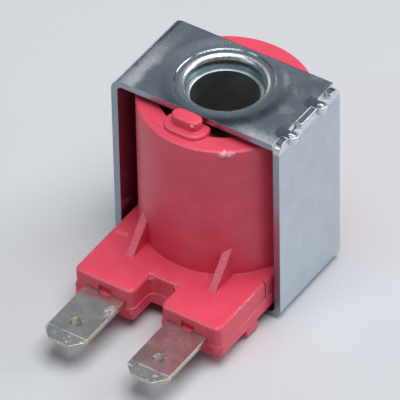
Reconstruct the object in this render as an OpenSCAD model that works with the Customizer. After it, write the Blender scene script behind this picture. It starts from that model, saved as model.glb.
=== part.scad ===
// Solenoid coil of a washing machine inlet valve: a moulded coil body with two
// push-on tabs, held in a steel yoke made of two identical bent strips.
// Millimetres. The origin is on the bore axis, in the plane of the yoke's bottom
// face. The tabs point along -Y and the bore runs along Z.

/* [Yoke] */
// Outer height of the yoke
yoke_h = 30.8; // [28:0.1:38]
// Width of the steel strip, front to back
yoke_d = 14.9; // [13:0.1:16.5]
// Thickness of the steel strip
strip_t = 1; // [0.8:0.05:1.4]
// Inside radius of the bend between a leg and its plate
bend_r = 0.8; // [0.3:0.1:1.5]
// Gap between each leg and the coil body
leg_gap = 0.3; // [0.1:0.1:1]

/* [Corner joints] */
// Distance between the two notches in the free end of a leg
joint_pitch = 7.1; // [6:0.1:8]
// Width of a notch between the tenons of a leg
notch_w = 3.3; // [2.4:0.1:3.8]
// Radius of the two outer corners at the free end of a leg
tenon_r = 1.4; // [0.3:0.1:1.8]
// Width of the staked finger in each notch
finger_w = 1.6; // [1:0.1:1.8]
// How far a finger stands out beyond the leg
finger_out = 0.85; // [0.1:0.05:1.2]
// Radius of the punch that stakes a finger
punch_r = 1.6; // [1:0.1:2.4]
// Length of the punch along the plate's edge
punch_l = 0.8; // [0.4:0.1:1.6]
// Depth of the dent that the punch leaves
dent_depth = 0.35; // [0.1:0.05:0.6]

/* [Sleeves and collars] */
// Bore of the two pole sleeves
bore_d = 9.5; // [8:0.1:11]
// Wall of a pole sleeve
sleeve_wall = 0.6; // [0.4:0.05:0.8]
// Length of a pole sleeve
sleeve_l = 9; // [6:0.5:11]
// Depth of a sleeve's end below the face of the yoke
sleeve_depth = 2; // [1:0.1:3]
// Bevel on the edges of a sleeve's ends
sleeve_bevel = 0.12; // [0.05:0.01:0.2]
// Wall of the collar drawn into a yoke plate
collar_wall = 0.8; // [0.6:0.05:1.2]
// Rounding at the mouth of a collar
mouth_r = 0.8; // [0.4:0.1:0.9]
// Diameter of the ring coined round a collar's mouth
coin_d = 13.7; // [13:0.1:16]
// Depth of the coined ring, which has a sloped edge
coin_depth = 0.12; // [0.05:0.01:0.2]

/* [Coil body] */
// Outer diameter of the moulded body
body_d = 24; // [22.5:0.1:28]
// Gap between the body's end and a yoke plate
body_gap = 1; // [0.9:0.1:2]
// Moulded wall outside the winding
body_wall = 2.1; // [1.8:0.1:2.5]
// Rounding of the body's end edges
body_edge_r = 0.4; // [0.2:0.1:0.8]
// Diameter of the recess in each end of the body
recess_d = 18; // [16.5:0.1:18.5]
// Thickness of the moulded lip over the bobbin's flange
lip_t = 1.2; // [0.8:0.1:1.6]

/* [Key lug] */
// Length of the lug that stops the yoke from turning
lug_w = 4.5; // [3:0.1:7]
// Thickness of the lug, front to back
lug_d = 2.15; // [1.6:0.05:2.6]
// Sideways offset of the lug from the bore axis
lug_offset = -0.4; // [-1:0.1:1]
// Height of the lug above the yoke's top face
lug_above = 0.2; // [0:0.1:0.6]
// Rounding of the lug's top edge
lug_edge_r = 0.4; // [0.1:0.1:0.7]
// Height of the step round the lug's foot
step_h = 0.7; // [0.3:0.1:0.8]
// Margin of the step round the lug
step_margin = 1.05; // [0.6:0.05:1.2]

/* [Terminal block] */
// Gap between each side of the block and the leg beside it
block_gap = 0.6; // [0.3:0.1:1.2]
// Reach of the block's front face from the bore axis
block_reach = 19.9; // [19:0.1:24]
// Height of the block above the middle of the tabs
block_up = 2.5; // [1.8:0.1:3.5]
// Height of the block below the middle of the tabs
block_down = 3; // [2.5:0.1:3.2]
// Gap between the two arms of the block
arm_gap = 4.4; // [3.6:0.1:5]
// Length of the arms
arm_l = 4.5; // [3:0.1:5]
// Radius of the block's upright corners
corner_r = 1; // [0.7:0.1:1.5]
// Rounding of the block's top edges
edge_r = 0.5; // [0.2:0.1:0.6]
// Rounding of the block's bottom edges, as a share of that of its upright corners
foot_share = 0.9; // [0.3:0.05:0.95]
// How far the parting line lies below the middle of the tabs
parting_drop = 0.6; // [0.2:0.1:1]
// How far the lower half stands out at the parting line
parting_step = 0.12; // [0.02:0.01:0.2]
// Depth of the hollow in the front of each arm, under its tab
hollow_d = 0.45; // [0.2:0.05:0.8]
// Width of the groove down each side of the block's upper half
side_groove_w = 0.4; // [0.2:0.05:0.8]
// Depth of that groove
side_groove_d = 0.5; // [0.2:0.05:0.8]
// Distance of that groove from the front of the yoke
side_groove_gap = 0.9; // [0.4:0.1:1.5]
// Reach, from the bore axis, of the underside that is level with the body's end
relief_reach = 10.6; // [9.5:0.1:13]
// Drop of the two pads under the block
pad_h = 0.9; // [0.2:0.1:1.2]
// Length of a pad, front to back
pad_l = 2.6; // [1.5:0.1:4]
// Width of a pad
pad_w = 2.2; // [1:0.1:3]

/* [Gussets] */
// Thickness of the gussets between the block and the body
gusset_t = 1.2; // [0.6:0.1:2]
// Height of a gusset
gusset_h = 4.4; // [2:0.1:8]
// Reach of a gusset's foot from the bore axis
gusset_reach = 14; // [13:0.1:17]

/* [Terminals] */
// Width of a tab
tab_w = 6.3; // [5.5:0.1:6.5]
// Thickness of a tab
tab_t = 0.8; // [0.5:0.1:1]
// Length of a tab in front of the block
tab_l = 11.1; // [8:0.1:14]
// Distance between the two tabs
tab_pitch = 13.2; // [12.5:0.1:14]
// Corner chamfer at a tab's tip
tip_chamfer = 1.5; // [0.5:0.1:2]
// Length of the thinned tip
tip_l = 2.1; // [1:0.1:3]
// Thickness at the very end of a tab
tip_t = 0.45; // [0.2:0.05:0.5]
// Diameter of the latch hole in a tab
latch_d = 1.75; // [1.2:0.05:2.5]
// Distance of the latch hole from the tip
latch_from_tip = 4.4; // [3.5:0.1:6]
// Length of the full width tab inside the block
tab_in = 2.4; // [2.2:0.1:3]
// Diameter of the moulded plug through a tab's root
plug_d = 2; // [1:0.1:3]
// How far the plug shows in front of the block
plug_out = 0.45; // [0.1:0.05:0.8]
// Height of the window in the block above a plug
window_h = 1.1; // [0.5:0.1:1.5]
// Depth of that window
window_l = 0.4; // [0.3:0.1:1]
// Width of the shank behind a tab
shank_w = 4.4; // [3:0.1:4.8]
// Length of the shank
shank_l = 2; // [1.5:0.1:2.5]
// Width of the post that carries the wire
post_w = 1.2; // [0.8:0.1:1.6]
// Length of the post
post_l = 3; // [2.5:0.1:3.2]

/* [Bobbin and winding] */
// Wall of the bobbin's tube
bobbin_wall = 0.9; // [0.6:0.1:1.5]
// Thickness of the bobbin's flanges
flange_t = 1.2; // [0.8:0.1:1.6]
// Height of a flange's rim above the wrapped winding
flange_rim = 0.5; // [0.2:0.1:0.8]
// Thickness of the wrap round the winding
tape_t = 0.25; // [0.1:0.05:0.5]
// Floor of the sockets that hold the terminals
socket_t = 0.9; // [0.7:0.1:1.2]
// Wall of the sockets
cheek_t = 1; // [0.6:0.1:1.1]
// Height of the socket walls above a terminal
cheek_h = 0.8; // [0.4:0.1:1]
// Width of the neck that joins a socket to its flange
neck_w = 4.4; // [3:0.1:5.5]
// Diameter of the leads
lead_d = 0.4; // [0.2:0.05:0.5]
// Diameter of the solder joint on a post
solder_d = 2.2; // [2:0.1:2.4]
// Length of the solder joint
solder_l = 1.6; // [1:0.1:1.8]

/* [Hidden] */
$fn = 96;

// Fits
press_gap = 0.02;  // sleeve in its collar, tenon beside its plate
slide_gap = 0.05;  // sleeve in the bobbin, lug beside the yoke
mould_gap = 0.03;  // moulded plastic round what it encloses
eps = 0.1;         // overshoot of cuts

// Yoke
yoke_w = body_d + 2 * (leg_gap + strip_t);
plate_edge = yoke_w / 2 - strip_t - press_gap;
finger_tip = yoke_w / 2 + finger_out;
notch_depth = strip_t + press_gap;
finger_mid = (notch_w - finger_w) / 2 - press_gap;  // in front of the middle of its notch
bend_out = bend_r + strip_t;

// Levels along the bore
body_bottom = strip_t + body_gap;
body_top = yoke_h - body_bottom;
bobbin_bottom = body_bottom + lip_t;
bobbin_top = yoke_h - bobbin_bottom;
tab_z = bobbin_bottom + socket_t + tab_t / 2 + press_gap;
tab_top = tab_z + tab_t / 2;
block_top = tab_z + block_up;
block_bottom = tab_z - block_down;
parting_z = tab_z - parting_drop;
foot_r = foot_share * corner_r;

// Radii from the bore outwards
bore_r = bore_d / 2;
sleeve_r = bore_r + sleeve_wall;
collar_r = sleeve_r + press_gap;
collar_l = body_gap + lip_t - slide_gap;
tube_in = sleeve_r + slide_gap;
tube_out = tube_in + bobbin_wall;
body_r = body_d / 2;
cavity_r = body_r - body_wall;
tape_out = cavity_r - mould_gap;
tape_in = tape_out - tape_t;
winding_r = tape_in - mould_gap;
flange_r = tape_out + flange_rim;
wind_bottom = bobbin_bottom + flange_t;
wind_top = bobbin_top - flange_t;

// Places along Y, measured from the bore axis towards the tabs
strip_front = yoke_d / 2;
side_groove = strip_front + side_groove_gap;
lug_back = strip_front + slide_gap;
tip_reach = block_reach + tab_l;
shoulder = block_reach - tab_in;
post_root = shoulder - shank_l;
post_end = post_root - post_l;
solder_mid = post_root - post_l / 2;
socket_front = shoulder - press_gap;
socket_w = shank_w + 2 * (cheek_t + press_gap);
socket_back = flange_r - cheek_t;
socket_top = tab_top + cheek_h;
plug_reach = block_reach + plug_out - plug_d / 2;
block_front = block_reach + parting_step;

// The block fits between the legs, and its necks lie along the sockets' inner sides
block_w = yoke_w - 2 * (strip_t + block_gap);
neck_mid = tab_pitch / 2 - (socket_w - neck_w) / 2;
neck_back = sqrt(pow(cavity_r, 2) - pow(neck_mid + neck_w / 2, 2));

// The leads leave the winding above the necks and lie on the posts
lead_z = tab_top + press_gap + lead_d / 2;
exit_z = lead_z + lead_d / 2;
groove_z = wind_bottom - lead_d / 2 - mould_gap;
groove_w = lead_d + 2 * mould_gap;
elbow_r = flange_r + lead_d;
lead_angle = -acos(neck_mid / cavity_r);
space_top = max(socket_top, tab_z + solder_d / 2, exit_z + lead_d / 2) + mould_gap;

steel = [0.72, 0.75, 0.79];
sleeve_steel = [0.45, 0.47, 0.5];
pink = [0.88, 0.3, 0.39];
brown = [0.2, 0.13, 0.1];
copper = [0.72, 0.36, 0.18];
amber = [0.85, 0.65, 0.2];
tin = [0.76, 0.74, 0.7];
solder = [0.8, 0.8, 0.82];

// Shared shapes

// Copies to both tabs
module at_tabs() {
    for (side = [-1, 1])
        translate([side * tab_pitch / 2, 0, 0]) children();
}

// Copies to the necks of both sockets
module at_necks() {
    for (side = [-1, 1])
        translate([side * neck_mid, 0, 0]) children();
}

// A box that lies between two distances in front of the bore axis
module slab(width, near, far, z0, z1) {
    translate([-width / 2, -far, z0])
        cube([width, far - near, z1 - z0]);
}

// A bar with round ends along X and a rounded top edge
module round_bar(length, width, height, top_r) {
    end_r = width / 2;
    straight = length - width;
    for (side = [-1, 1])
        translate([side * straight / 2, 0, 0])
            rotate_extrude() rounded_half(end_r, height, top_r);
    rotate([90, 0, 90])
        linear_extrude(straight, center = true) {
            rounded_half(end_r, height, top_r);
            mirror([1, 0]) rounded_half(end_r, height, top_r);
        }
}

// Half of a section whose top outer edge is rounded
module rounded_half(half_w, height, top_r) {
    square([half_w, height - top_r]);
    square([half_w - top_r, height]);
    intersection() {
        translate([half_w - top_r, height - top_r]) circle(top_r);
        square([half_w, height]);
    }
}

// A box with round upright corners and a rounded top edge, centred on X,
// from y = near to y = far in front of the bore axis
module soft_box(width, near, far, height, top_r) {
    depth = far - near;
    inner_w = width - 2 * corner_r;
    inner_d = depth - 2 * corner_r;
    translate([0, -(near + far) / 2, 0]) {
        for (sx = [-1, 1], sy = [-1, 1])
            translate([sx * inner_w / 2, sy * inner_d / 2, 0])
                rotate_extrude() rounded_half(corner_r, height, top_r);
        rotate([90, 0, 0])
            linear_extrude(inner_d, center = true) box_section(width, height, top_r);
        rotate([90, 0, 90])
            linear_extrude(inner_w, center = true) box_section(depth, height, top_r);
    }
}

// Section of a soft box, seen along one of its sides
module box_section(width, height, top_r) {
    rounded_half(width / 2, height, top_r);
    mirror([1, 0]) rounded_half(width / 2, height, top_r);
}

// Yoke

// Side view of the strip: a leg on the left, a bend and the plate
module strip_profile() {
    square_corner = [-yoke_w / 2 + bend_out, yoke_h - bend_out];
    translate([-yoke_w / 2, 0]) square([strip_t, square_corner[1]]);
    translate([square_corner[0], yoke_h - strip_t])
        square([plate_edge - square_corner[0], strip_t]);
    intersection() {
        translate(square_corner) difference() {
            circle(bend_out);
            circle(bend_r);
        }
        translate([-yoke_w / 2, square_corner[1]]) square(bend_out);
    }
}

// Everything that the collar leaves open: the hole, its mouth and the coined ring
module collar_void() {
    floor_z = yoke_h - coin_depth;
    curve_z = floor_z - mouth_r;
    bottom = yoke_h - strip_t - collar_l - eps;
    rotate_extrude() {
        translate([0, bottom]) square([collar_r, yoke_h - bottom + eps]);
        difference() {
            translate([0, curve_z]) square([collar_r + mouth_r, mouth_r + eps]);
            translate([collar_r + mouth_r, curve_z]) circle(mouth_r);
        }
        polygon([[0, floor_z], [coin_d / 2 - coin_depth, floor_z], [coin_d / 2, yoke_h],
                 [coin_d / 2, yoke_h + eps], [0, yoke_h + eps]]);
    }
}

// Copies to both notches, at a distance in front of their middles
module at_notches(ahead) {
    for (side = [-1, 1])
        translate([0, side * joint_pitch / 2 - ahead, 0]) children();
}

// A round-ended finger of the plate that lies in a notch of the other leg
module finger() {
    start = plate_edge - eps;
    end = finger_tip - finger_w / 2;
    translate([0, 0, yoke_h - strip_t])
        linear_extrude(strip_t) {
            translate([start, -finger_w / 2]) square([end - start, finger_w]);
            translate([end, 0]) circle(d = finger_w);
        }
}

// The dent across the root of a finger, left by a punch with round ends
module dent() {
    translate([plate_edge, 0, yoke_h + punch_r - dent_depth]) {
        rotate([90, 0, 0]) cylinder(r = punch_r, h = punch_l, center = true);
        for (side = [-1, 1])
            translate([0, side * punch_l / 2, 0]) sphere(punch_r);
    }
}

// What the outer corners at the free end of a leg lose
module tenon_corners() {
    for (side = [0, 1])
        mirror([0, side, 0])
            translate([-yoke_w / 2 - eps, yoke_d / 2 - tenon_r, tenon_r])
                rotate([90, 0, 90])
                    linear_extrude(strip_t + 2 * eps) difference() {
                        translate([0, -tenon_r - eps]) square(tenon_r + eps);
                        circle(tenon_r);
                    }
}

// One bent strip, with its leg on the left and its plate on top
module yoke() {
    collar_end = yoke_h - strip_t - collar_l;
    difference() {
        union() {
            rotate([90, 0, 0]) linear_extrude(yoke_d, center = true) strip_profile();
            translate([0, 0, collar_end])
                cylinder(r = collar_r + collar_wall, h = collar_l + strip_t / 2);
            at_notches(finger_mid) finger();
        }
        collar_void();
        tenon_corners();
        at_notches(finger_mid) dent();
        at_notches(0)
            translate([-yoke_w / 2 - eps, -notch_w / 2, -eps])
                cube([strip_t + 2 * eps, notch_w, notch_depth + eps]);
    }
}

// Turns a piece of the upper half over, to its place in the lower half
module turned_over() {
    translate([0, 0, yoke_h]) rotate([0, 180, 0]) children();
}

module upper_yoke() {
    color(steel) yoke();
}

module lower_yoke() {
    color(steel) turned_over() yoke();
}

// Pole sleeves

module sleeve() {
    top = yoke_h - sleeve_depth;
    rotate_extrude()
        polygon([[bore_r + sleeve_bevel, top], [sleeve_r - sleeve_bevel, top],
                 [sleeve_r, top - sleeve_bevel], [sleeve_r, top - sleeve_l + sleeve_bevel],
                 [sleeve_r - sleeve_bevel, top - sleeve_l],
                 [bore_r + sleeve_bevel, top - sleeve_l],
                 [bore_r, top - sleeve_l + sleeve_bevel], [bore_r, top - sleeve_bevel]]);
}

module upper_sleeve() {
    color(sleeve_steel) sleeve();
}

module lower_sleeve() {
    color(sleeve_steel) turned_over() sleeve();
}

// Moulded body

// Section of the round body: outer wall, lips and the space for the bobbin
module body_section() {
    mid = yoke_h / 2;
    half = body_top - mid;
    difference() {
        translate([0, mid]) {
            rounded_half(body_r, half, body_edge_r);
            mirror([0, 1]) rounded_half(body_r, half, body_edge_r);
        }
        translate([0, body_bottom - eps])
            square([recess_d / 2, body_top - body_bottom + 2 * eps]);
        translate([0, wind_bottom]) square([cavity_r, wind_top - wind_bottom]);
        translate([0, bobbin_bottom - mould_gap])
            square([flange_r + mould_gap, flange_t + 2 * mould_gap]);
        translate([0, wind_top - mould_gap])
            square([flange_r + mould_gap, flange_t + 2 * mould_gap]);
    }
}

// Upper or lower half of the terminal block, from the parting plane upwards
module block_half(width, height, top_r) {
    arm_w = (block_w - arm_gap) / 2;
    spread = (width - block_w) / 2;
    neck = block_reach - arm_l;
    soft_box(width, 0, neck + spread, height, top_r);
    for (side = [-1, 1])
        translate([side * (arm_gap + arm_w) / 2, 0, 0])
            soft_box(arm_w + 2 * spread, neck - 2 * corner_r, block_reach + spread, height, top_r);
    notch_fillets(neck + spread, arm_gap / 2 - spread, height - top_r);
}

// Fillets in the two inner corners between the arms
module notch_fillets(neck, half_gap, height) {
    for (side = [-1, 1])
        translate([side * half_gap, -neck, 0])
            mirror([side < 0 ? 1 : 0, 0, 0])
                linear_extrude(height) difference() {
                    translate([-corner_r, -corner_r]) square(corner_r + eps);
                    translate([-corner_r, -corner_r]) circle(corner_r);
                }
}

// The block, cut clear of the inside of the coil body
module block() {
    difference() {
        union() {
            translate([0, 0, parting_z]) block_half(block_w, block_top - parting_z, edge_r);
            translate([0, 0, parting_z]) mirror([0, 0, 1])
                block_half(block_w + 2 * parting_step, parting_z - block_bottom, foot_r);
            at_block_sides()
                translate([-pad_w, -relief_reach - pad_l, block_bottom - pad_h])
                    cube([pad_w, pad_l, pad_h + foot_r]);
        }
        at_tabs() front_hollow();
        slab(block_w + 2 * (parting_step + eps), -eps, relief_reach, block_bottom - eps, body_bottom);
        at_block_sides()
            translate([-side_groove_d, -side_groove - side_groove_w, parting_z])
                cube([side_groove_d + eps, side_groove_w, block_top - parting_z + eps]);
        cylinder(r = body_r - body_wall / 2, h = yoke_h);
    }
}

// The shallow hollow in the front of an arm, which spreads downwards from the tab's width
module front_hollow() {
    half = tab_w / 2;
    drop = parting_z - block_bottom + eps;
    translate([0, hollow_d - block_front, parting_z])
        rotate([90, 0, 0])
            linear_extrude(hollow_d + eps)
                polygon([[-half, 0], [half, 0], [half + drop, -drop], [-half - drop, -drop]]);
}

// Copies to both sides of the block, with +X pointing out of it
module at_block_sides() {
    for (side = [0, 1])
        mirror([side, 0, 0])
            translate([block_w / 2, 0, 0]) children();
}

// Ribs that brace the block against the body
module gussets() {
    wall_y = sqrt(pow(body_r, 2) - pow(tab_pitch / 2, 2));
    at_tabs()
        rotate([90, 0, -90])
            linear_extrude(gusset_t, center = true)
                polygon([[wall_y - body_wall / 2, block_top - edge_r],
                         [gusset_reach + edge_r * (gusset_reach - wall_y) / gusset_h,
                          block_top - edge_r],
                         [wall_y - body_wall / 2,
                          block_top + gusset_h * (1 + body_wall / 2 / (gusset_reach - wall_y))]]);
}

// The lug that meets the front edge of the upper plate, on its step
module key_lug() {
    seat = bobbin_top + mould_gap;
    lug_h = yoke_h + lug_above - seat;
    step_w = lug_w + 2 * step_margin;
    step_d = lug_d + 2 * step_margin;
    middle = lug_back + lug_d / 2;
    translate([lug_offset, -middle, seat]) {
        round_bar(lug_w, lug_d, lug_h, lug_edge_r);
        intersection() {
            round_bar(step_w, step_d, body_top + step_h - seat, lug_edge_r);
            translate([-step_w / 2, -step_d / 2, 0])
                cube([step_w, step_d / 2 + lug_d / 2, lug_h]);
        }
    }
}

// The space inside the block for a terminal, its socket, lead and solder joint
module terminal_space() {
    slab(socket_w + 2 * mould_gap, socket_back - mould_gap, socket_front + mould_gap,
         bobbin_bottom - mould_gap, space_top);
    difference() {
        slab(tab_w + 2 * press_gap, shoulder - mould_gap, block_front + eps,
             tab_z - tab_t / 2 - press_gap, tab_top + press_gap);
        translate([0, -plug_reach, 0]) cylinder(d = plug_d - 2 * press_gap, h = block_top);
    }
    slab(plug_d, block_reach - window_l, block_front + eps, tab_top + press_gap,
         tab_top + window_h);
}

// The spaces round the necks
module neck_spaces() {
    at_necks()
        slab(neck_w + 2 * mould_gap, neck_back, socket_back, bobbin_bottom - mould_gap, space_top);
}

// Plugs of plastic through the roots of the tabs
module plugs() {
    at_tabs()
        translate([0, -plug_reach, tab_z - tab_t / 2])
            cylinder(d = plug_d - 2 * press_gap, h = tab_t);
}

module overmould() {
    color(pink) {
        difference() {
            union() {
                rotate_extrude() body_section();
                block();
                gussets();
                key_lug();
            }
            at_tabs() terminal_space();
            neck_spaces();
        }
        plugs();
    }
}

// Bobbin

// A socket: a floor under the terminal with a window below the post, and cheeks
module socket() {
    floor_top = bobbin_bottom + socket_t;
    difference() {
        slab(socket_w, socket_back, socket_front, bobbin_bottom, floor_top);
        slab(solder_d + 2 * slide_gap, solder_mid - solder_l / 2 - slide_gap,
             solder_mid + solder_l / 2 + slide_gap, bobbin_bottom - eps, floor_top + eps);
    }
    for (side = [-1, 1])
        translate([side * (socket_w - cheek_t) / 2, 0, 0])
            slab(cheek_t, post_root, socket_front, bobbin_bottom, socket_top);
}

module bobbin() {
    color(brown) difference() {
        union() {
            translate([0, 0, bobbin_bottom]) cylinder(r = tube_out, h = bobbin_top - bobbin_bottom);
            translate([0, 0, bobbin_bottom]) cylinder(r = flange_r, h = flange_t);
            translate([0, 0, wind_top]) cylinder(r = flange_r, h = flange_t);
            at_tabs() socket();
            at_necks()
                slab(neck_w, neck_back, socket_back + eps, bobbin_bottom, bobbin_bottom + socket_t);
        }
        translate([0, 0, bobbin_bottom - eps])
            cylinder(r = tube_in, h = bobbin_top - bobbin_bottom + 2 * eps);
        rotate([0, 0, 180 - lead_angle])
            translate([tube_out, -groove_w / 2, groove_z - lead_d / 2 - mould_gap])
                cube([elbow_r - tube_out + groove_w / 2, groove_w, flange_t]);
    }
}

module winding() {
    color(copper)
        translate([0, 0, wind_bottom + mould_gap])
            difference() {
                cylinder(r = winding_r, h = wind_top - wind_bottom - 2 * mould_gap);
                translate([0, 0, -eps])
                    cylinder(r = tube_out + mould_gap, h = wind_top - wind_bottom + eps);
            }
}

module winding_tape() {
    color(amber)
        translate([0, 0, wind_bottom + mould_gap])
            difference() {
                cylinder(r = tape_out, h = wind_top - wind_bottom - 2 * mould_gap);
                translate([0, 0, -eps])
                    cylinder(r = tape_in, h = wind_top - wind_bottom + eps);
            }
}

// Terminals

// Plan of a terminal: tab with chamfered tip, shank and post
module terminal_plan() {
    half = tab_w / 2;
    polygon([[-half, -shoulder], [-half, tip_chamfer - tip_reach],
             [tip_chamfer - half, -tip_reach], [half - tip_chamfer, -tip_reach],
             [half, tip_chamfer - tip_reach], [half, -shoulder],
             [shank_w / 2, -shoulder], [shank_w / 2, -post_root],
             [post_w / 2, -post_root], [post_w / 2, -post_end],
             [-post_w / 2, -post_end], [-post_w / 2, -post_root],
             [-shank_w / 2, -post_root], [-shank_w / 2, -shoulder]]);
}

// Side view of a terminal, thinned towards the tip
module terminal_side() {
    polygon([[tip_reach, tip_t / 2], [tip_reach - tip_l, tab_t / 2], [post_end, tab_t / 2],
             [post_end, -tab_t / 2], [tip_reach - tip_l, -tab_t / 2], [tip_reach, -tip_t / 2]]);
}

module terminal() {
    difference() {
        intersection() {
            translate([0, 0, tab_z - tab_t]) linear_extrude(2 * tab_t) terminal_plan();
            translate([0, 0, tab_z]) rotate([90, 0, -90])
                linear_extrude(tab_w + 2 * eps, center = true) terminal_side();
        }
        translate([0, latch_from_tip - tip_reach, tab_z - tab_t]) cylinder(d = latch_d, h = 2 * tab_t);
        translate([0, -plug_reach, tab_z - tab_t]) cylinder(d = plug_d, h = 2 * tab_t);
    }
}

module left_terminal() {
    color(tin) translate([-tab_pitch / 2, 0, 0]) terminal();
}

module right_terminal() {
    color(tin) translate([tab_pitch / 2, 0, 0]) terminal();
}

// Leads and solder

// A wire through a list of points, swollen a little where it is bent
module wire(points) {
    for (i = [0 : len(points) - 2])
        wire_run(points[i], points[i + 1]);
    for (i = [1 : len(points) - 2])
        translate(points[i]) sphere(d = lead_d + press_gap, $fn = 24);
}

// A straight run of wire between two points
module wire_run(from, to) {
    run = to - from;
    translate(from)
        rotate([0, acos(run[2] / norm(run)), atan2(run[1], run[0])])
            cylinder(d = lead_d, h = norm(run), $fn = 24);
}

// A point at a distance from the bore axis, on the line to the right neck
function on_ray(radius, z) = [radius * cos(lead_angle), radius * sin(lead_angle), z];

// The same point on the left
function on_left(p) = [-p[0], p[1], p[2]];

solder_face = solder_mid - solder_l / 2 - slide_gap;
lead_foot = [tab_pitch / 2, -solder_face, lead_z];

module start_lead() {
    color(copper)
        wire([on_left(lead_foot), on_left(on_ray(elbow_r, lead_z)),
              on_left(on_ray(elbow_r, groove_z)),
              on_left(on_ray(tube_out + lead_d / 2, groove_z))]);
}

module finish_lead() {
    color(copper)
        wire([lead_foot, on_ray(elbow_r, lead_z), on_ray(tape_out + lead_d / 2, exit_z)]);
}

// A bead of solder round a post
module solder_joint() {
    end_r = solder_l / 4;
    translate([0, -solder_mid, tab_z])
        difference() {
            rotate([90, 0, 0])
                rotate_extrude() {
                    translate([0, -solder_l / 2])
                        square([solder_d / 2 - end_r, solder_l]);
                    translate([0, end_r - solder_l / 2])
                        square([solder_d / 2, solder_l - 2 * end_r]);
                    for (side = [-1, 1])
                        translate([solder_d / 2 - end_r, side * (solder_l / 2 - end_r)])
                            circle(end_r);
                }
            cube([post_w + 2 * press_gap, solder_l + 2 * eps, tab_t + 2 * press_gap], center = true);
        }
}

module left_solder_joint() {
    color(solder) translate([-tab_pitch / 2, 0, 0]) solder_joint();
}

module right_solder_joint() {
    color(solder) translate([tab_pitch / 2, 0, 0]) solder_joint();
}

upper_yoke();
lower_yoke();
upper_sleeve();
lower_sleeve();
overmould();
bobbin();
winding();
winding_tape();
left_terminal();
right_terminal();
start_lead();
finish_lead();
left_solder_joint();
right_solder_joint();
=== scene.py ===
"""Looks of a solenoid coil for an inlet valve: moulded body, plated yoke, sleeves and tabs.

Blender works in metres, in the frame of the CAD model. Lengths here are in millimetres unless a
comment says metres, and MM turns them into metres. Angles are in degrees, colours are linear.
"""
import math

import bmesh
import bpy
from mathutils import Matrix, Vector, noise


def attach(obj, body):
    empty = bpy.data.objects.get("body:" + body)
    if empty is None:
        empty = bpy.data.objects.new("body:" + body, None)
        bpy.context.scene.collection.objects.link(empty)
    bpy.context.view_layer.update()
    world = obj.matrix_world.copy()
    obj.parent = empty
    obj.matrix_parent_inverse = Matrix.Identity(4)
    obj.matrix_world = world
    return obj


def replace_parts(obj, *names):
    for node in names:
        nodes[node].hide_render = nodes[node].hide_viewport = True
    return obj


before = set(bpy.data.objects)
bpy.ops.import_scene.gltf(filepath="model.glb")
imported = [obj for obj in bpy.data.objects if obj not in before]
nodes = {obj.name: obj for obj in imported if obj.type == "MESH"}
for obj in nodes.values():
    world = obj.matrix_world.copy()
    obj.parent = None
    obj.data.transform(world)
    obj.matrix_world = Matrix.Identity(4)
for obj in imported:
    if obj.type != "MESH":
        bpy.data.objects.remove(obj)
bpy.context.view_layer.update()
MM = 0.001

# Sizes of the CAD model that the looks refer to
YOKE_H = 30.8
YOKE_HALF_D = 7.45
LEG_IN, LEG_OUT = 12.3, 13.3
COLLAR_R = 5.37
COIN_R = 6.85
TENON_R = 1.4
FINGER_Y = (-4.38, 2.72)
DENT_X, DENT_DEPTH = 12.28, 0.35
NOTCH_FLOOR = 29.78
BODY_R = 12.0
BODY_TOP = 28.8
BLOCK_TOP = 7.02
TAB_CREASE_Y = -28.9

# The photograph's camera
CAMERA_AZ, CAMERA_EL, CAMERA_ROLL = 34.12, 41.78, -1.2
CAMERA_AIM = (0, -3, 12)
CAMERA_AWAY, CAMERA_LEFT = 800, 1.97
FOCAL_PIXELS, PHOTO_PIXELS = 5948, 400
SENSOR = 36

# Stage and light, in metres and watts. Each lamp has a direction from the object, a width and a power.
FLOOR_HALF = 3.0
FLOOR_TONES = (0.61, 0.63, 0.66), (0.65, 0.67, 0.70)
ROOM_DIM, ROOM_BRIGHT = (0.05, 0.056, 0.066, 1), (0.26, 0.275, 0.30, 1)
ROOM_BRIGHT_TOWARD = (-0.30, 0.44, 0.85)
LAMP_AIM, LAMP_AWAY = (0, -0.005, 0.012), 0.8
LAMPS = {
    "key": ((0.17, -0.03, 0.98), 0.6, 6.0),
    "back": ((0.60, 0.62, 0.50), 0.46, 2.2),
    "side": ((-0.78, 0.36, 0.51), 0.3, 0.4),
    "front": ((-0.42, -0.72, 0.55), 0.28, 0.5),
}

# Colours: a pair is the two ends of a cloudy tone
ZINC = (0.50, 0.56, 0.63), (0.58, 0.64, 0.70)
ZINC_HAZE = (0.84, 0.87, 0.90)
ZINC_SCRATCH = (0.80, 0.82, 0.84)
ZINC_SHEARED = (0.80, 0.83, 0.86)
# a painted highlight on the rounded front corner of a leg's end
ZINC_PAINTED_HIGHLIGHT = (0.94, 0.95, 0.96)
# the mouth's tool grain, lightened as a painted highlight
MOUTH_GRAIN_AND_HIGHLIGHT = (0.62, 0.66, 0.68), (0.96, 0.97, 0.97)
# painted shade on the collar's wall inside the bore
COLLAR_WALL_SHADE = (0.30, 0.38, 0.40)
# the punch dents darkened as a painted reflection
DENT_PAINTED_REFLECTION = (0.26, 0.32, 0.39)
# slit edges: dull cut faces, darkened further as a painted reflection
SLIT_EDGE = (0.26, 0.31, 0.37)
BURR = (0.84, 0.87, 0.90), (0.95, 0.96, 0.97)
SLEEVE = (0.46, 0.55, 0.57), (0.62, 0.71, 0.73)
# a painted highlight on the sleeves' bevels
SLEEVE_BEVEL_HIGHLIGHT = (0.86, 0.90, 0.91)
PINK = (0.77, 0.066, 0.118), (0.84, 0.082, 0.142)
PINK_GRAIN = (0.90, 0.15, 0.22)
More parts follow.
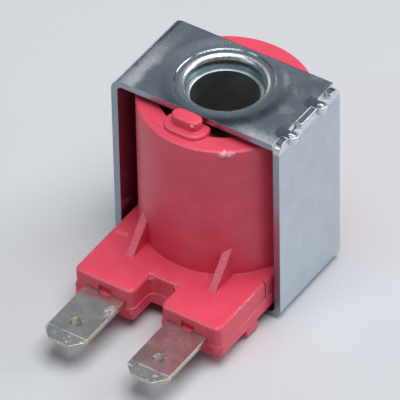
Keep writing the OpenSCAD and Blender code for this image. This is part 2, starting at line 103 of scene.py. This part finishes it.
# rubbed plastic and painted highlight on edges and ridges
PINK_RUBBED_AND_HIGHLIGHT = (0.97, 0.47, 0.55)
PINK_WHITENED = (0.95, 0.46, 0.54)
PINK_SMEAR = (0.80, 0.50, 0.50)
TIN = (0.60, 0.61, 0.60), (0.69, 0.69, 0.67)
TIN_ROLLED = (0.75, 0.75, 0.73)
# the tips darkened as a painted reflection
TIN_TIP_PAINTED_REFLECTION = (0.42, 0.44, 0.44)
TIN_RUBBED = (0.90, 0.91, 0.90)
BRASS_EDGE = (0.46, 0.33, 0.13)
BROWN = (0.20, 0.066, 0.042), (0.29, 0.095, 0.06)
COPPER = (0.42, 0.13, 0.04), (0.58, 0.22, 0.08)
AMBER = (0.55, 0.30, 0.03), (0.70, 0.42, 0.06)
SOLDER = (0.55, 0.56, 0.58), (0.72, 0.73, 0.75)

# Patterns of the materials
SCUFF_X = -10.8
SCRATCHES = (20, 3), (75, 11), (-40, 23), (5, 31)   # turn and shift of each set
DISH_W, DISH_DEPTH = 2.6, 0.34
SMEAR_SPOT = (-9.9, -10.6)
TAB_SPOT = (-4.1, -22.6, 4.9)
TAB_SPOT_LONG = 0.55
WIRE_TURNS = 36.0

# Rounded edges: points closer than WELD metres are one, edges under FLAT degrees go, and an edge is
# rounded where the edges round it are ROOM times longer than the rounding
WELD, FLAT, ROOM = 1e-7, 0.4, 2.2

# Burrs and beads: how far a burr lies inside the strip's faces, and how thick each kind is
BURR_IN = 0.04
BURR_WANDER = 0.7
TENON_RIM, FINGER_RIM, FINGER_LUMP, NOTCH_RIM = 0.085, 0.18, 0.22, 0.10
FINGER_TIP_R = 0.74
MIDDLE_TENON_Y = 1.86
SIDE_TENON_Y = (5.24, 5.98)
RIM_LIP = (-5.2, -10.1), (2.2, -10.5)
RIM_LIP_END = (2.4, -10.55), (3.7, -11.2)
GATE_X, GATE_Y, GATE_Z = (0.85, 1.3), -9.66, 30.5
RAGGED_X, RAGGED_Y = 11.53, (-9.2, -18.7)
BEAD_SIDES = 10
LUMPINESS = 1.9
FLATTER_DENT = 0.28


# Camera, floor and light

def place_camera():
    """The photograph's view: a long lens from the front right, above."""
    az, el, roll = (math.radians(a) for a in (CAMERA_AZ, CAMERA_EL, CAMERA_ROLL))
    back = Vector((math.sin(az) * math.cos(el), -math.cos(az) * math.cos(el), math.sin(el)))
    level = Vector((math.cos(az), math.sin(az), 0))
    rise = back.cross(level)
    right = level * math.cos(roll) + rise * math.sin(roll)
    up = rise * math.cos(roll) - level * math.sin(roll)
    eye = (Vector(CAMERA_AIM) + back * CAMERA_AWAY - right * CAMERA_LEFT) * MM
    data = bpy.data.cameras.new("camera")
    data.sensor_width = SENSOR
    data.lens = SENSOR * FOCAL_PIXELS / PHOTO_PIXELS
    data.clip_start, data.clip_end = 0.05, 20
    cam = bpy.data.objects.new("camera", data)
    turn = Matrix((right, up, back)).transposed().to_4x4()
    cam.matrix_world = Matrix.Translation(eye) @ turn
    bpy.context.scene.collection.objects.link(cam)
    bpy.context.scene.camera = cam


def area_light(name, direction, size, watts):
    """A soft square lamp that looks at the object from that direction."""
    data = bpy.data.lights.new(name, "AREA")
    data.shape, data.size, data.energy = "SQUARE", size, watts
    lamp = bpy.data.objects.new(name, data)
    away = Vector(direction).normalized()
    lamp.location = Vector(LAMP_AIM) + away * LAMP_AWAY
    lamp.rotation_mode = "QUATERNION"
    lamp.rotation_quaternion = away.to_track_quat("Z", "Y")
    bpy.context.scene.collection.objects.link(lamp)


class Paint:
    """A material's node tree, with short names for the nodes that are used most."""

    def __init__(self, name):
        self.mat = bpy.data.materials.new(name)
        self.mat.use_nodes = True
        self.tree = self.mat.node_tree
        self.tree.nodes.clear()
        out = self.add("ShaderNodeOutputMaterial")
        self.bsdf = self.add("ShaderNodeBsdfPrincipled")
        self.join(self.bsdf.outputs[0], out.inputs[0])
        place = self.add("ShaderNodeMapping")
        place.inputs["Scale"].default_value = (1 / MM, 1 / MM, 1 / MM)
        self.join(self.add("ShaderNodeTexCoord").outputs["Object"], place.inputs["Vector"])
        self.mm = place.outputs[0]

    def add(self, kind, **props):
        node = self.tree.nodes.new(kind)
        for key, value in props.items():
            setattr(node, key, value)
        return node

    def join(self, source, socket):
        """A link from another node, or a plain value."""
        if hasattr(source, "is_linked"):
            self.tree.links.new(source, socket)
        else:
            socket.default_value = source

    def math(self, op, first, *others):
        """One operation, repeated along the values."""
        for other in others or (0.0,):
            node = self.add("ShaderNodeMath", operation=op)
            self.join(first, node.inputs[0])
            self.join(other, node.inputs[1])
            first = node.outputs[0]
        return first

    def plus(self, *values):
        return self.math("ADD", *values)

    def less(self, a, b):
        return self.math("SUBTRACT", a, b)

    def times(self, *values):
        return self.math("MULTIPLY", *values)

    def most(self, *values):
        return self.math("MAXIMUM", *values)

    def off(self, value, middle=0.0):
        """How far a value lies from a middle, on either side."""
        return self.math("ABSOLUTE", self.less(value, middle) if middle else value)

    def xyz(self, vector=None):
        node = self.add("ShaderNodeSeparateXYZ")
        self.join(vector or self.mm, node.inputs[0])
        return node.outputs

    def flat_normal(self):
        """The direction of the surface before any bump."""
        return self.add("ShaderNodeNewGeometry").outputs["Normal"]

    def vec(self, x, y, z):
        node = self.add("ShaderNodeCombineXYZ")
        for value, socket in zip((x, y, z), node.inputs):
            self.join(value, socket)
        return node.outputs[0]

    def stretch(self, scale, turn=(0, 0, 0), shift=(0, 0, 0)):
        node = self.add("ShaderNodeMapping")
        self.join(self.mm, node.inputs["Vector"])
        node.inputs["Scale"].default_value = scale
        node.inputs["Rotation"].default_value = [math.radians(a) for a in turn]
        node.inputs["Location"].default_value = shift
        return node.outputs[0]

    def noise(self, scale, detail=3.0, rough=0.55, vector=None):
        node = self.add("ShaderNodeTexNoise")
        self.join(vector or self.mm, node.inputs["Vector"])
        node.inputs["Scale"].default_value = scale
        node.inputs["Detail"].default_value = detail
        node.inputs["Roughness"].default_value = rough
        return node.outputs[0]

    def ease(self, value, low, high, to_low=0.0, to_high=1.0):
        """A smooth step from to_low to to_high as the value goes from low to high."""
        node = self.add("ShaderNodeMapRange", interpolation_type="SMOOTHSTEP")
        for key, given in zip(("Value", "From Min", "From Max", "To Min", "To Max"),
                              (value, low, high, to_low, to_high)):
            self.join(given, node.inputs[key])
        return node.outputs[0]

    def fade(self, value, low, high):
        """1 below low, 0 above high."""
        return self.ease(value, low, high, 1.0, 0.0)

    def mix(self, fac, a, b):
        node = self.add("ShaderNodeMix", data_type="RGBA")
        self.join(fac, node.inputs[0])
        self.join(a if hasattr(a, "is_linked") else (*a, 1), node.inputs[6])
        self.join(b if hasattr(b, "is_linked") else (*b, 1), node.inputs[7])
        return node.outputs[2]

    def soft_edges(self, radius):
        node = self.add("ShaderNodeBevel", samples=6)
        node.inputs["Radius"].default_value = radius * MM
        return node.outputs[0]

    def bump(self, height, depth, strength=1.0, under=None):
        node = self.add("ShaderNodeBump")
        node.inputs["Strength"].default_value = strength
        node.inputs["Distance"].default_value = depth * MM
        self.join(height, node.inputs["Height"])
        if under is not None:
            self.join(under, node.inputs["Normal"])
        return node.outputs[0]

    def set(self, **sockets):
        for key, value in sockets.items():
            self.join(value, self.bsdf.inputs[key.replace("_", " ")])
        return self.mat


def stage_and_light():
    """A wide pale floor, soft lamps and a dim room that is brighter overhead at the back."""
    mesh = bpy.data.meshes.new("floor")
    bm = bmesh.new()
    bmesh.ops.create_grid(bm, x_segments=24, y_segments=24, size=FLOOR_HALF)
    bm.to_mesh(mesh)
    bm.free()
    floor = bpy.data.objects.new("floor", mesh)
    bpy.context.scene.collection.objects.link(floor)
    paint = Paint("floor")
    colour = paint.mix(paint.noise(0.02, 2.0), *FLOOR_TONES)
    mesh.materials.append(paint.set(Base_Color=colour, Roughness=0.6))

    world = bpy.data.worlds.new("room")
    world.use_nodes = True
    tree = world.node_tree
    coord = tree.nodes.new("ShaderNodeTexCoord")
    toward = tree.nodes.new("ShaderNodeVectorMath")
    toward.operation = "DOT_PRODUCT"
    toward.inputs[1].default_value = ROOM_BRIGHT_TOWARD
    ramp = tree.nodes.new("ShaderNodeValToRGB")
    tree.links.new(coord.outputs["Generated"], toward.inputs[0])
    tree.links.new(toward.outputs["Value"], ramp.inputs[0])
    tree.links.new(ramp.outputs[0], tree.nodes["Background"].inputs["Color"])
    dim, bright = ramp.color_ramp.elements
    dim.position, dim.color = 0.80, ROOM_DIM
    bright.position, bright.color = 1.0, ROOM_BRIGHT
    bpy.context.scene.world = world

    for name, (direction, size, watts) in LAMPS.items():
        area_light(name, direction, size, watts)
    bpy.context.scene.view_settings.view_transform = "Standard"


# Materials

def steel_paint(name, turned):
    """Bright plated strip: streaks, hazy scuffs, scratches, dull cut edges and a grainy collar mouth, with
    painted highlights on the mouth and a leg's front corner, and painted shade and reflection darkening the
    collar wall, the punch dents and the slit edges.
    """
    p = Paint(name)
    x, y, z = p.xyz()
    if turned:
        x = p.times(x, -1.0)
        z = p.less(YOKE_H, z)
    radius = p.math("SQRT", p.plus(p.times(x, x), p.times(y, y)))
    along = p.vec(p.times(p.plus(x, z), 0.12), p.times(y, 5.0), 0.0)
    streaks = p.noise(1.0, 3.0, 0.6, along)
    cloud = p.noise(0.3, 3.0, 0.55)
    fine = p.noise(4.5, 4.0, 0.6)
    grit = p.noise(10.0, 3.0, 0.6)
    tone = p.plus(p.times(streaks, 0.35), p.times(cloud, 0.65))

    # on the plate: a scuffed band by the bend that fades towards the back, rubs by the seam, specks
    on_top = p.ease(z, YOKE_H - 0.6, YOKE_H - 0.2)
    wander = p.times(p.less(p.noise(0.4, 2.0), 0.5), 1.8)
    band = p.times(p.fade(p.off(p.plus(x, -SCUFF_X, wander)), 0.4, 2.0), p.ease(y, -3.0, 6.5, 1.0, 0.2))
    corner = p.times(p.ease(x, 4.0, 9.0), p.fade(y, -6.9, -4.6))
    seam = p.times(p.ease(x, 5.5, 9.0), p.ease(p.noise(0.6, 3.0), 0.46, 0.66), 0.45)
    rub = p.times(p.most(band, corner, seam), on_top, p.ease(fine, 0.05, 0.58))
    speck = p.times(p.ease(p.noise(3.2, 1.0), 0.72, 0.77, 0.0, 0.5), on_top)
    worn = p.most(rub, speck)

    # the leg's free end has a painted highlight on its front corner, sheared faces are pale, slit edges are
    # dull and darkened further as a painted reflection
    facing = p.xyz(p.flat_normal())
    end = p.times(p.fade(x, -LEG_IN - 0.1, -LEG_IN + 0.2), p.fade(z, 0.8, 1.8))
    painted_corner_highlight = p.times(end, p.fade(y, -YOKE_HALF_D + 0.35, -YOKE_HALF_D + 0.85))
    plate_end = p.times(p.ease(p.off(facing[0]), 0.6, 0.8), p.ease(x, LEG_IN - 0.3, LEG_IN - 0.1))
    sheared = p.most(p.times(end, p.ease(z, 0.3, 0.5)), plate_end)
    sheared = p.times(sheared, p.less(1.0, painted_corner_highlight))
    slit = p.times(p.ease(p.off(facing[1]), 0.85, 0.97),
                   p.ease(p.off(y), YOKE_HALF_D - 0.2, YOKE_HALF_D - 0.03))

    # punch dents darkened as a painted reflection, and scratches in a few directions
    marks = []
    for middle in FINGER_Y:
        wide = p.math("POWER", p.off(y, middle), 2.0)
        deep = p.math("POWER", p.off(x, DENT_X - 0.35), 2.0)
        away = p.math("SQRT", p.plus(p.times(wide, 0.5), deep))
        marks.append(p.times(p.fade(away, 0.6, 1.1), on_top))
    dents_painted_dark = p.most(*marks)
    lines = []
    for turn, shift in SCRATCHES:
        run = p.stretch((0.22, 9.0, 0.22), (turn * 0.5, turn, turn), (shift, shift, 0))
        lines.append(p.ease(p.noise(1.0, 1.0, 0.4, run), 0.70, 0.76))
    scratch = p.most(*lines)

    # the collar: a grainy mouth lightened as a painted highlight, and a wall darkened as painted shade
    shaded_wall = p.times(p.fade(radius, COLLAR_R + 0.23, COLLAR_R + 0.63),
                   p.fade(z, YOKE_H - 1.05, YOKE_H - 0.75))
    mouth = p.less(p.fade(radius, COLLAR_R + 0.53, COLLAR_R + 1.03), shaded_wall)
    grain = p.mix(p.ease(grit, 0.38, 0.62), *MOUTH_GRAIN_AND_HIGHLIGHT)

    colour = p.mix(p.ease(tone, 0.3, 0.7), *ZINC)
    colour = p.mix(p.times(worn, 0.85), colour, ZINC_HAZE)
    colour = p.mix(p.times(scratch, 0.25), colour, ZINC_SCRATCH)
    # the mouth's grain lightened as a painted highlight, the wall darkened as painted shade
    colour = p.mix(p.times(mouth, 0.9), colour, grain)
    colour = p.mix(p.times(shaded_wall, 0.9), colour, COLLAR_WALL_SHADE)
    # the punch dents darkened as a painted reflection
    colour = p.mix(p.times(dents_painted_dark, 0.8), colour, DENT_PAINTED_REFLECTION)
    # slit edges darkened: dull cut face and painted reflection
    colour = p.mix(p.times(slit, 0.8), colour, SLIT_EDGE)
    colour = p.mix(sheared, colour, ZINC_SHEARED)
    # painted highlight on the leg's front corner
    colour = p.mix(painted_corner_highlight, colour, ZINC_PAINTED_HIGHLIGHT)
    rough = p.plus(p.ease(fine, 0.3, 0.75, 0.14, 0.20), p.times(worn, 0.30),
                   p.times(mouth, p.ease(fine, 0.35, 0.65, 0.12, 0.24)),
                   p.times(p.most(shaded_wall, slit), 0.14), p.times(painted_corner_highlight, 0.20), p.times(sheared, 0.42))
    normal = p.bump(p.ease(radius, COIN_R, COIN_R + DISH_W), DISH_DEPTH, 1.0, p.soft_edges(0.1))
    normal = p.bump(cloud, 0.006, 0.8, normal)
    normal = p.bump(p.less(fine, p.times(scratch, 0.6)), 0.002, 0.6, normal)
    normal = p.bump(p.times(p.most(worn, mouth), grit), 0.007, 0.6, normal)
    return p.set(Base_Color=colour, Metallic=1.0, Roughness=rough, Normal=normal)


def burr_paint(name):
    """Bare bright steel where the joint was pressed."""
    p = Paint(name)
    cloud = p.noise(2.5, 3.0)
    return p.set(Base_Color=p.mix(cloud, *BURR), Metallic=1.0,
                 Roughness=p.ease(cloud, 0.3, 0.7, 0.30, 0.48), Normal=p.bump(cloud, 0.01, 0.6))


def sleeve_paint(name):
    """Grey turned steel with rings from the tool, and bevels on the edges of its ends lightened as a
    painted highlight.
    """
    p = Paint(name)
    rings = p.noise(1.0, 4.0, 0.7, p.vec(0.0, 0.0, p.times(p.xyz()[2], 6.0)))
    cloud = p.noise(0.45, 4.0)
    upright = p.off(p.xyz(p.flat_normal())[2])
    bevel = p.times(p.ease(upright, 0.3, 0.5), p.fade(upright, 0.85, 0.97))
    colour = p.mix(p.ease(cloud, 0.3, 0.7), *SLEEVE)
    # the bevels lightened as a painted highlight
    colour = p.mix(bevel, colour, SLEEVE_BEVEL_HIGHLIGHT)
    rough = p.plus(p.ease(rings, 0.3, 0.7, 0.30, 0.46), p.times(bevel, 0.12))
    normal = p.bump(rings, 0.01, 0.6, p.bump(cloud, 0.02, 0.5))
    return p.set(Base_Color=colour, Metallic=1.0, Roughness=rough, Normal=normal)


def pink_paint(name, whitened):
    """Satin moulded plastic: faint flow clouds, pale edges and ridges that are partly rubbed and partly
    painted highlight, and a fine skin.

    whitened is the share of the pale colour of stressed plastic all over.
    """
    p = Paint(name)
    x, y, z = p.xyz()
    flow = p.noise(0.22, 4.0, 0.6)
    grain = p.noise(2.4, 5.0, 0.65)
    skin = p.noise(9.0, 4.0, 0.6)

    # soft edges and the gussets' ridges made pale, partly rubbed plastic and partly painted highlight, the
    # ridges speckled mainly on the right with bumps and painted glints
    soft, flat = p.soft_edges(0.28), p.flat_normal()
    facing = p.add("ShaderNodeVectorMath", operation="DOT_PRODUCT")
    p.join(soft, facing.inputs[0])
    p.join(flat, facing.inputs[1])
    edge = p.times(p.fade(facing.outputs["Value"], 0.80, 0.99), 0.7)
    _, forward, upright = p.xyz(flat)
    ridge = p.times(p.fade(forward, -0.62, -0.45), p.ease(upright, 0.40, 0.58))
    # rubbed: edges and ridges, partly rubbed plastic and partly painted highlight
    rubbed = p.most(p.times(edge, p.ease(flow, 0.40, 0.62, 0.35, 1.0)), ridge)
    dots = p.times(p.ease(p.noise(4.2, 2.0, 0.5), 0.54, 0.66), p.ease(x, -1.0, 1.0, 0.3, 1.0))
    on_ridge = p.ease(ridge, 0.0, 1.0, 1.0, p.plus(p.times(dots, 0.9), 0.3))
    pale = p.times(rubbed, p.ease(skin, 0.34, 0.64, 0.2, 1.0), on_ridge)

    # a dry smear on the block's top, by the left gusset
    smear = p.noise(1.0, 3.0, 0.6, p.stretch((0.5, 5.0, 0.5), (0, 0, 8)))
    spot = p.times(p.fade(p.off(x, SMEAR_SPOT[0]), 0.6, 1.5), p.fade(p.off(y, SMEAR_SPOT[1]), 0.15, 0.6),
                   p.ease(z, BLOCK_TOP - 0.22, BLOCK_TOP - 0.02), p.ease(smear, 0.42, 0.6))

    colour = p.mix(p.ease(flow, 0.3, 0.7), *PINK)
    colour = p.mix(p.ease(grain, 0.62, 0.8, 0.0, 0.3), colour, PINK_GRAIN)
    # edges and ridges paler: rubbed plastic and painted highlight
    colour = p.mix(p.times(pale, 0.85), colour, PINK_RUBBED_AND_HIGHLIGHT)
    colour = p.mix(p.ease(skin, 0.35, 0.65, 0.6 * whitened, whitened), colour, PINK_WHITENED)
    colour = p.mix(p.times(spot, 0.5), colour, PINK_SMEAR)
    rough = p.plus(p.ease(grain, 0.3, 0.7, 0.34, 0.46), p.times(pale, 0.1))
    normal = p.bump(flow, 0.08, 0.6, soft)
    normal = p.bump(grain, 0.02, 0.5, normal)
    normal = p.bump(skin, 0.006, 0.5, normal)
    normal = p.bump(p.times(ridge, dots), 0.06, 0.8, normal)
    return p.set(Base_Color=colour, Roughness=rough, Normal=normal)


def tab_paint(name):
    """Hazy tin on sheet: faint rolling lines, specks and a rubbed spot, with brass on cut edges, a painted
    highlight along each tip's crease and the tips darkened as a painted reflection.
    """
    p = Paint(name)
    x, y, _ = p.xyz()
    roll = p.noise(1.0, 2.0, 0.5, p.vec(p.times(x, 2.6), p.times(y, 0.12), 0.0))
    stain = p.noise(0.5, 4.0, 0.6)
    fine = p.noise(4.0, 2.0, 0.6)
    cut = p.times(p.fade(p.off(p.xyz(p.flat_normal())[2]), 0.35, 0.75), p.ease(stain, 0.35, 0.65, 0.3, 0.8))

    # the rubbed spot on the left tab, sparse specks on both, scrapes at the tips, and a painted highlight
    # along the crease
    spot_x, spot_y, spot_z = TAB_SPOT
    far = p.add("ShaderNodeVectorMath", operation="DISTANCE")
    p.join(p.stretch((1.0, TAB_SPOT_LONG, 1.0)), far.inputs[0])
    far.inputs[1].default_value = (spot_x, spot_y * TAB_SPOT_LONG, spot_z)
    spot = p.times(p.fade(far.outputs["Value"], 0.3, 1.0), p.ease(fine, 0.42, 0.56))
    speck = p.ease(p.noise(1.7, 1.0), 0.74, 0.78)
    tip = p.fade(y, TAB_CREASE_Y - 0.05, TAB_CREASE_Y + 0.05)
    scrape = p.times(tip, p.ease(p.noise(1.3, 4.0, 0.7), 0.56, 0.66))
    line = p.times(p.fade(p.off(y, TAB_CREASE_Y), 0.04, 0.14), p.ease(stain, 0.38, 0.55))
    # worn also carries the painted highlight of the crease
    worn = p.most(spot, p.times(p.most(speck, scrape, line), 0.7))

    colour = p.mix(p.ease(stain, 0.35, 0.65), *TIN)
    colour = p.mix(p.ease(roll, 0.5, 0.7, 0.0, 0.22), colour, TIN_ROLLED)
    colour = p.mix(cut, colour, BRASS_EDGE)
    # the tips darkened as a painted reflection
    colour = p.mix(p.times(tip, 0.35), colour, TIN_TIP_PAINTED_REFLECTION)
    colour = p.mix(worn, colour, TIN_RUBBED)
    rough = p.plus(p.ease(stain, 0.3, 0.7, 0.25, 0.29), p.times(worn, 0.22))
    normal = p.bump(stain, 0.001, 0.6)
    normal = p.bump(p.plus(p.times(fine, 0.2), p.times(worn, 4.0)), 0.002, 0.6, normal)
    return p.set(Base_Color=colour, Metallic=0.95, Roughness=rough, Normal=normal)


def bobbin_paint(name):
    """Dark brown moulded plastic."""
    p = Paint(name)
    grain = p.noise(5.0, 4.0)
    return p.set(Base_Color=p.mix(p.noise(0.5, 4.0), *BROWN),
                 Roughness=p.ease(grain, 0.3, 0.7, 0.42, 0.6), Normal=p.bump(grain, 0.02, 0.6))


def wire_paint(name):
    """Enamelled copper, wound in close turns."""
    p = Paint(name)
    turns = p.math("SINE", p.times(p.xyz()[2], WIRE_TURNS))
    cloud = p.noise(0.9, 3.0)
    return p.set(Base_Color=p.mix(cloud, *COPPER), Metallic=1.0,
                 Roughness=p.ease(cloud, 0.3, 0.7, 0.22, 0.36), Normal=p.bump(turns, 0.05, 0.8))


def tape_paint(name):
    """Amber film wrapped round the winding."""
    p = Paint(name)
    cloud = p.noise(0.4, 3.0)
    crease = p.noise(1.0, 3.0, 0.6, p.stretch((0.4, 0.4, 3.0)))
    return p.set(Base_Color=p.mix(cloud, *AMBER),
                 Roughness=p.ease(cloud, 0.3, 0.7, 0.2, 0.35), Normal=p.bump(crease, 0.04, 0.7))


def solder_paint(name):
    """Bright frozen solder."""
    p = Paint(name)
    cloud = p.noise(2.0, 4.0)
    return p.set(Base_Color=p.mix(cloud, *SOLDER), Metallic=1.0,
                 Roughness=p.ease(cloud, 0.3, 0.7, 0.18, 0.34), Normal=p.bump(cloud, 0.04, 0.7))


# Pieces

def piece_of(bm, name, paint):
    """The finished mesh as an object that rides the body, with even shading on its flat faces."""
    mesh = bpy.data.meshes.new(name)
    bm.to_mesh(mesh)
    bm.free()
    mesh.materials.append(paint)
    piece = bpy.data.objects.new(name, mesh)
    bpy.context.scene.collection.objects.link(piece)
    even = piece.modifiers.new("even", "WEIGHTED_NORMAL")
    even.keep_sharp = True
    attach(piece, "root")
    return piece


def dressed(name, soften, paint, sharp=32.0, crease=35.0, reshape=None):
    """A copy of a CAD node that stands for the node, with edges over the angle sharp rounded by soften.

    Edges over the angle crease are shaded as corners. reshape moves the points first.
    """
    bm = bmesh.new()
    bm.from_mesh(nodes[name].data)
    if reshape:
        for vert in bm.verts:
            vert.co = reshape(vert.co)
    bmesh.ops.remove_doubles(bm, verts=bm.verts, dist=WELD)
    bmesh.ops.dissolve_limit(bm, angle_limit=math.radians(FLAT), verts=bm.verts, edges=bm.edges)
    limit, room = math.radians(sharp), ROOM * soften * MM
    hard = [e for e in bm.edges if e.is_manifold and e.calc_face_angle(0) > limit
            and all(o.calc_length() > room for v in e.verts for o in v.link_edges)]
    bmesh.ops.bevel(bm, geom=hard, offset=soften * MM, offset_type="OFFSET", segments=3,
                    profile=0.5, affect="EDGES", clamp_overlap=True)
    for face in bm.faces:
        face.smooth = True
    for edge in bm.edges:
        edge.smooth = edge.calc_face_angle(0) < math.radians(crease)
    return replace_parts(piece_of(bm, name + "_looks", paint), name)


def bead(name, path, thick, wander, paint):
    """A ragged bead along a path of points, thin at both ends."""
    bm = bmesh.new()
    rings = []
    for i, point in enumerate(path):
        here = Vector(point)
        ahead = (Vector(path[min(i + 1, len(path) - 1)]) - Vector(path[max(i - 1, 0)])).normalized()
        side = ahead.cross(Vector((0, 0, 1))).normalized()
        rise = side.cross(ahead)
        swell = math.sqrt(math.sin(math.pi * (i + 0.5) / len(path)))
        ring = []
        for k in range(BEAD_SIDES):
            turn = 2 * math.pi * k / BEAD_SIDES
            out = side * math.cos(turn) + rise * math.sin(turn)
            lump = 1 + wander * noise.noise(here * LUMPINESS + out)
            ring.append(bm.verts.new((here + out * thick * swell * lump) * MM))
        rings.append(ring)
    for near, far in zip(rings, rings[1:]):
        for k in range(BEAD_SIDES):
            n = (k + 1) % BEAD_SIDES
            bm.faces.new((near[k], near[n], far[n], far[k]))
    bm.faces.new(rings[0])
    bm.faces.new(rings[-1])
    bmesh.ops.recalc_face_normals(bm, faces=bm.faces)
    for face in bm.faces:
        face.smooth = True
    return piece_of(bm, name, paint)


def spread(start, end, count):
    """Even steps between two angles, in radians."""
    return [math.radians(start + (end - start) * i / (count - 1)) for i in range(count)]


def arc(start, end, radius, z, count, middle=(0, 0)):
    """Points on a level circle, between two angles."""
    return [(middle[0] + radius * math.cos(t), middle[1] + radius * math.sin(t), z)
            for t in spread(start, end, count)]


def between(a, b, count):
    """Points on a straight line from a to b."""
    return [Vector(a).lerp(Vector(b), i / (count - 1)) for i in range(count)]


def corner_round(x, way):
    """Points down the rounded corner of a tenon, at the front (-1) or the back (1)."""
    radius = TENON_R - 0.03
    return [(x, way * (YOKE_HALF_D - TENON_R + radius * math.sin(t)),
             YOKE_H - TENON_R + radius * math.cos(t)) for t in spread(0, 90, 8)]


def burr_paths():
    """The pressed-up rims of the upper seam's tenons, fingers and notches, each with its thickness."""
    near, far = LEG_IN + BURR_IN, LEG_OUT - BURR_IN
    loop = [(x, y, YOKE_H) for x, y in ((near, -MIDDLE_TENON_Y), (far, -MIDDLE_TENON_Y),
                                        (far, MIDDLE_TENON_Y), (near, MIDDLE_TENON_Y),
                                        (near, -MIDDLE_TENON_Y))]
    paths = [(TENON_RIM, [p for a, b in zip(loop, loop[1:]) for p in between(a, b, 14)])]
    inner, outer = SIDE_TENON_Y
    for way in (-1, 1):
        rim = between((near, way * inner, YOKE_H), (far, way * inner, YOKE_H), 10)
        rim += between((far, way * (inner + 0.06), YOKE_H), (far, way * outer, YOKE_H), 8)
        paths.append((TENON_RIM, rim + corner_round(far, way)))
    for y in FINGER_Y:
        paths.append((FINGER_RIM, arc(-90, 90, FINGER_TIP_R, YOKE_H, 20, (LEG_OUT + 0.05, y))))
        lump = between((LEG_OUT - 0.5, y - 0.25, YOKE_H), (LEG_OUT + 0.5, y + 0.2, YOKE_H), 16)
        paths.append((FINGER_LUMP, lump))
        paths.append((NOTCH_RIM, between((far, y + 0.9, NOTCH_FLOOR), (far, y + 2.45, NOTCH_FLOOR), 16)))
    return paths


def shallow_dents(co):
    """A point of the upper yoke, raised where a punch dented its joint, for a flatter dent."""
    x, y, z = co / MM
    inside = abs(x - DENT_X) < 1.1 and min(abs(y - f) for f in FINGER_Y) < 1.5
    if inside and YOKE_H - DENT_DEPTH - 0.01 < z < YOKE_H:
        z = YOKE_H - FLATTER_DENT * (YOKE_H - z)
    return Vector((x, y, z)) * MM


def repaint(paint, *names):
    """A better material on CAD nodes that keep their own mesh."""
    for name in names:
        for slot in nodes[name].material_slots:
            slot.material = paint


def dress_yoke():
    """Both strips, and the burrs of the seam that shows."""
    dressed("upper_yoke", 0.12, steel_paint("upper_steel", turned=False),
            sharp=60.0, reshape=shallow_dents)
    dressed("lower_yoke", 0.12, steel_paint("lower_steel", turned=True), sharp=60.0)
    burr = burr_paint("burr_looks")
    for count, (thick, path) in enumerate(burr_paths()):
        bead(f"burr_{count}", path, thick, BURR_WANDER, burr)


def dress_body():
    """The moulded body, with the flash and lip of its rim, the line at its foot and other ragged spots."""
    pink = pink_paint("pink_plastic_looks", whitened=0.0)
    pale = pink_paint("pale_pink_looks", whitened=0.75)
    dressed("overmould", 0.10, pink)
    flash = arc(-62, -50, BODY_R - 0.10, BODY_TOP - 0.32, 34)
    bead("rim_flash", flash, thick=0.46, wander=1.1, paint=pale)
    lip = between(*((x, y, BODY_TOP) for x, y in RIM_LIP), 40)
    turn, stop = RIM_LIP_END
    lip += between((*turn, BODY_TOP), (*stop, BODY_TOP - 0.05), 8)
    bead("rim_lip", lip, thick=0.15, wander=0.5, paint=pink)
    foot = arc(-82, -14, BODY_R + 0.02, BLOCK_TOP + 0.02, 110)
    bead("foot_line", foot, thick=0.06, wander=0.7, paint=pale)
    pip = between(*((x, GATE_Y, GATE_Z) for x in GATE_X), 9)
    bead("gate_pip", pip, thick=0.24, wander=0.5, paint=pale)
    ragged = between(*((RAGGED_X, y, BLOCK_TOP - 0.16) for y in RAGGED_Y), 110)
    rubbed = pink_paint("rubbed_pink_looks", whitened=0.35)
    bead("ragged_edge", ragged, thick=0.13, wander=1.7, paint=rubbed)


place_camera()
stage_and_light()
dress_yoke()
dress_body()
tab = tab_paint("tinned_brass_looks")
for terminal in ("left_terminal", "right_terminal"):
    dressed(terminal, 0.05, tab, sharp=20.0, crease=3.0)
repaint(sleeve_paint("sleeve_looks"), "upper_sleeve", "lower_sleeve")
repaint(bobbin_paint("bobbin_looks"), "bobbin")
repaint(wire_paint("wire_looks"), "winding", "start_lead", "finish_lead")
repaint(tape_paint("tape_looks"), "winding_tape")
repaint(solder_paint("solder_looks"), "left_solder_joint", "right_solder_joint")
